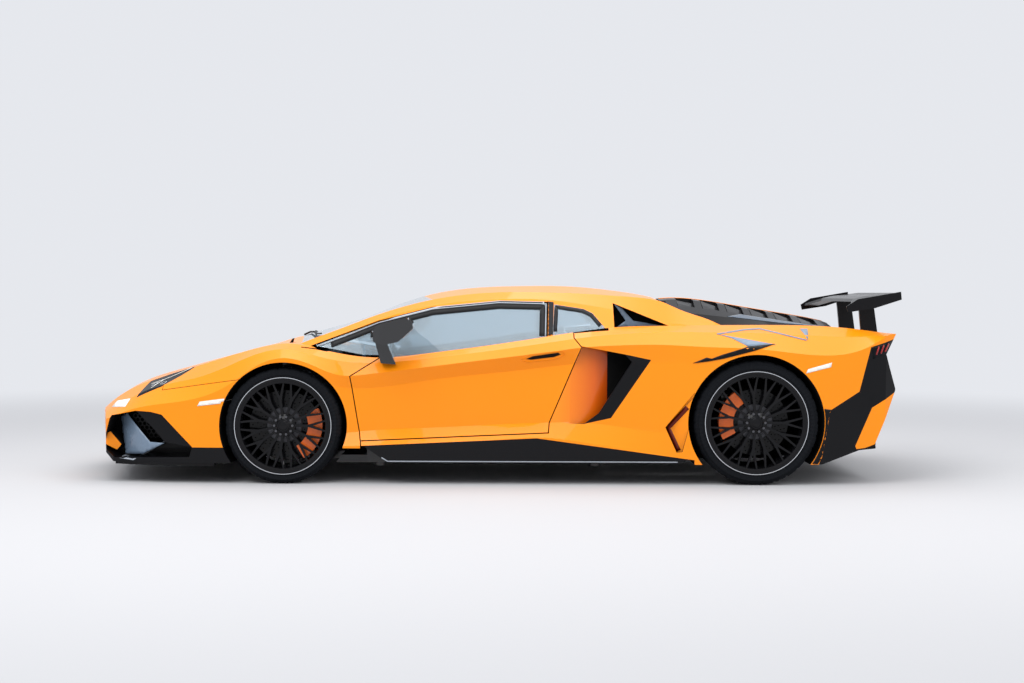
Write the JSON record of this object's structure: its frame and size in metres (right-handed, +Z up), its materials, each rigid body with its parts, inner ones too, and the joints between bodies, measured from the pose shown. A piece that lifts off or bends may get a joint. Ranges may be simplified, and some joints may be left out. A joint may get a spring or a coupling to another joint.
{
  "type": "mid-engined supercar",
  "caption": "Low wedge-shaped two-seat sports car with upward-swinging doors, side air scoops, flying buttresses and a fixed rear wing on posts.",
  "frame": {"origin": "on the ground under the middle of the overall length and width", "axes": "+X toward the tail, +Y toward the car's right side, +Z up"},
  "size_m": [4.8335, 2.264, 1.1367],
  "materials": {
    "body_paint": "metallic orange paint with a clear coat",
    "black_trim": "black moulded trim",
    "glass_clear": "lightly tinted glass",
    "lamp_cover": "dark headlamp unit",
    "tyre_rubber": "black tyre rubber",
    "wheel_black": "gloss black forged alloy",
    "knuckle_metal": "cast alloy",
    "carbon_tub": "bare carbon composite",
    "engine_metal": "dark cast metal",
    "exhaust_steel": "brushed steel",
    "caliper_paint": "orange brake caliper paint",
    "lamp_red": "red lamp lens over a black unit",
    "seat_leather": "black leather",
    "dash_trim": "black trim"
  },
  "bodies": {
    "car": {"front_bumper": "body_paint", "front_fenders": "body_paint", "rear_quarters": "body_paint", "roof": "body_paint", "rear_fins": "body_paint", "front_splitter": "black_trim", "side_skirts": "black_trim", "rear_bumper": "black_trim", "diffuser": "black_trim", "intake_frames": "black_trim", "wing": "black_trim", "windscreen": "glass_clear", "side_windows": "glass_clear", "headlamps": "lamp_cover", "rear_suspension": "knuckle_metal", "front_wishbones": "knuckle_metal", "tub": "carbon_tub", "undertray": "carbon_tub", "engine": "engine_metal", "exhaust": "exhaust_steel", "rear_calipers": "caliper_paint", "tail_lamps": "lamp_red", "seats": "seat_leather", "dashboard": "dash_trim"},
    "wheel_front_left": {"tyre_fl": "tyre_rubber", "wheel_fl": "wheel_black"},
    "wheel_front_right": {"tyre_fr": "tyre_rubber", "wheel_fr": "wheel_black"},
    "wheel_rear_left": {"tyre_rl": "tyre_rubber", "wheel_rl": "wheel_black"},
    "wheel_rear_right": {"tyre_rr": "tyre_rubber", "wheel_rr": "wheel_black"},
    "knuckle_left": {"knuckle_fl": "knuckle_metal", "caliper_fl": "caliper_paint"},
    "knuckle_right": {"knuckle_fr": "knuckle_metal", "caliper_fr": "caliper_paint"},
    "door_l": {"door_left": "body_paint", "door_glass_left": "glass_clear", "mirror_left": "black_trim"},
    "door_r": {"door_right": "body_paint", "door_glass_right": "glass_clear", "mirror_right": "black_trim"},
    "bonnet_lid": {"bonnet": "body_paint"},
    "cover": {"engine_cover": "black_trim"},
    "steering": {"steering_wheel": "dash_trim"}
  },
  "joints": [
    {"name": "steer_left", "type": "hinge", "parent": "car", "child": "knuckle_left", "pos_m": [-1.165, -0.8445, 0.3305], "axis": [0, 0, 1], "range_deg": [-33, 33]},
    {"name": "steer_right", "type": "hinge", "parent": "car", "child": "knuckle_right", "pos_m": [-1.165, 0.8445, 0.3305], "axis": [0, 0, 1], "range_deg": [-33, 33]},
    {"name": "steering_wheel_turn", "type": "hinge", "parent": "car", "child": "steering", "pos_m": [-0.56, -0.4, 0.69], "axis": [0.922, 0, 0.3872], "range_deg": [-429, 429]},
    {"name": "wheel_fl_spin", "type": "hinge", "parent": "knuckle_left", "child": "wheel_front_left", "pos_m": [-1.165, -0.86, 0.3305], "axis": [0, 1, 0], "continuous": true},
    {"name": "wheel_fr_spin", "type": "hinge", "parent": "knuckle_right", "child": "wheel_front_right", "pos_m": [-1.165, 0.86, 0.3305], "axis": [0, 1, 0], "continuous": true},
    {"name": "wheel_rl_spin", "type": "hinge", "parent": "car", "child": "wheel_rear_left", "pos_m": [1.535, -0.825, 0.3555], "axis": [0, 1, 0], "continuous": true},
    {"name": "wheel_rr_spin", "type": "hinge", "parent": "car", "child": "wheel_rear_right", "pos_m": [1.535, 0.825, 0.3555], "axis": [0, 1, 0], "continuous": true},
    {"name": "door_left_open", "type": "hinge", "parent": "car", "child": "door_l", "pos_m": [-1.06, -0.8, 0.771], "axis": [0, -0.9701, -0.2425], "range_deg": [0, 65]},
    {"name": "door_right_open", "type": "hinge", "parent": "car", "child": "door_r", "pos_m": [-1.06, 0.8, 0.771], "axis": [0, -0.9701, 0.2425], "range_deg": [0, 65]},
    {"name": "bonnet_open", "type": "hinge", "parent": "car", "child": "bonnet_lid", "pos_m": [-1.15, 0, 0.785], "axis": [0, 1, 0], "range_deg": [0, 55]},
    {"name": "engine_cover_open", "type": "hinge", "parent": "car", "child": "cover", "pos_m": [1.04, 0, 1.03], "axis": [0, -1, 0], "range_deg": [0, 50]}
  ],
  "couplings": [
    {"joint": "steer_right", "follows": "steer_left", "ratio": 1},
    {"joint": "steering_wheel_turn", "follows": "steer_left", "ratio": 13}
  ]
}
